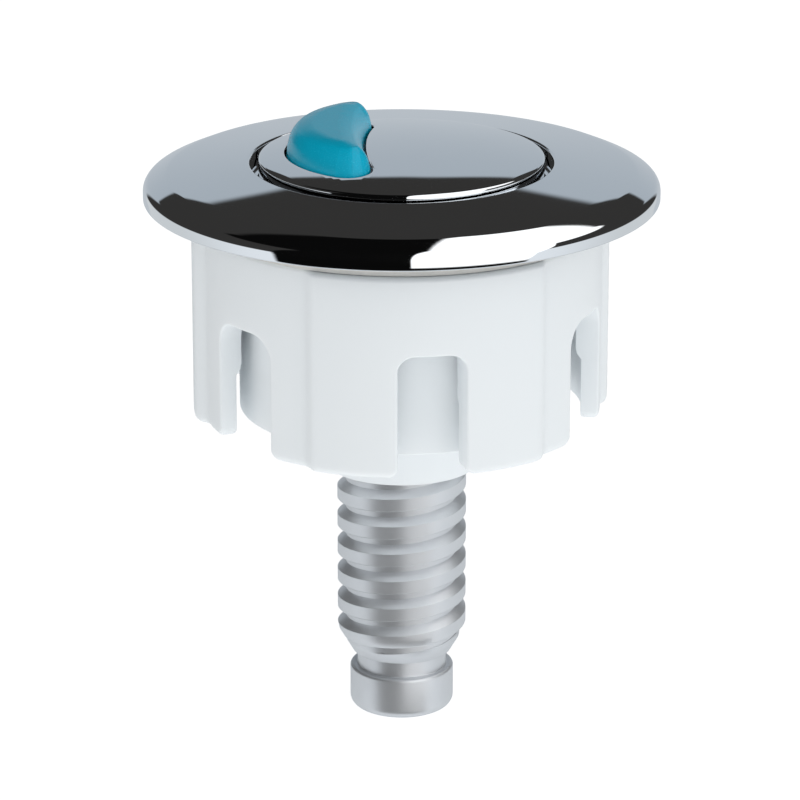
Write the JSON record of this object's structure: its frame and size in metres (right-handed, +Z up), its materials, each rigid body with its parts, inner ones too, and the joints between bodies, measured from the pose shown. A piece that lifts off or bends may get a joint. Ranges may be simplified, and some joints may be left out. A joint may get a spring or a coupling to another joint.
{
  "type": "push button cistern actuator",
  "caption": "Dual flush cistern push button: domed round flange, full flush disc with raised crescent, ribbed hand nut with arched windows, threaded push rod with foot.",
  "frame": {"origin": "centre of the flange's lower edge plane, which is the upper face of the cistern lid", "axes": "+Z up out of the lid along the button's axis, -Y towards the side that the picture shows, -X towards the half flush crescent"},
  "size_m": [0.073, 0.073, 0.0866],
  "materials": {
    "chrome": "polished",
    "grey_rubber": "soft matt foam rubber",
    "white_plastic": "satin moulded",
    "blue_plastic": "pearl gloss",
    "steel": "zinc plated",
    "black_rubber": "matt",
    "silver_metal": "turned, matt silver",
    "bush_plastic": "natural",
    "spring_steel": "bright drawn wire"
  },
  "bodies": {
    "root": {"flange": "chrome", "seal_ring": "grey_rubber", "guide_plate": "white_plastic", "guide_screws": "steel", "return_spring": "spring_steel"},
    "nut_washer": {"slip_washer": "white_plastic"},
    "nut": {"hand_nut": "white_plastic"},
    "full_flush": {"full_flush_button": "chrome", "button_carrier": "white_plastic", "carrier_screws": "steel", "buffer_ring": "black_rubber", "push_rod": "silver_metal", "rod_lock_nut": "steel", "pin_bush": "bush_plastic", "half_flush_spring": "spring_steel"},
    "half_flush": {"half_flush_button": "blue_plastic", "half_flush_slider": "white_plastic", "slider_screws": "steel", "half_flush_pin": "silver_metal", "pin_clip": "steel"}
  },
  "joints": [
    {"name": "full_flush_press", "type": "slide", "parent": "root", "child": "full_flush", "axis": [0, 0, -1], "range_m": [0, 0.006], "stiffness_N_per_m": 300, "springref_m": -0.008, "deforming": ["return_spring"]},
    {"name": "half_flush_press", "type": "slide", "parent": "full_flush", "child": "half_flush", "axis": [0, 0, -1], "range_m": [0, 0.004], "stiffness_N_per_m": 250, "springref_m": -0.006, "deforming": ["half_flush_spring"]},
    {"name": "nut_slide", "type": "slide", "parent": "root", "child": "nut_washer", "axis": [0, 0, -1], "range_m": [0, 0.006]},
    {"name": "nut_turn", "type": "hinge", "parent": "nut_washer", "child": "nut", "pos_m": [0, 0, -0.017], "axis": [0, 0, -1], "range_deg": [0, 720]}
  ],
  "couplings": [
    {"joint": "nut_slide", "follows": "nut_turn", "m_per_rad": 0.000477}
  ]
}
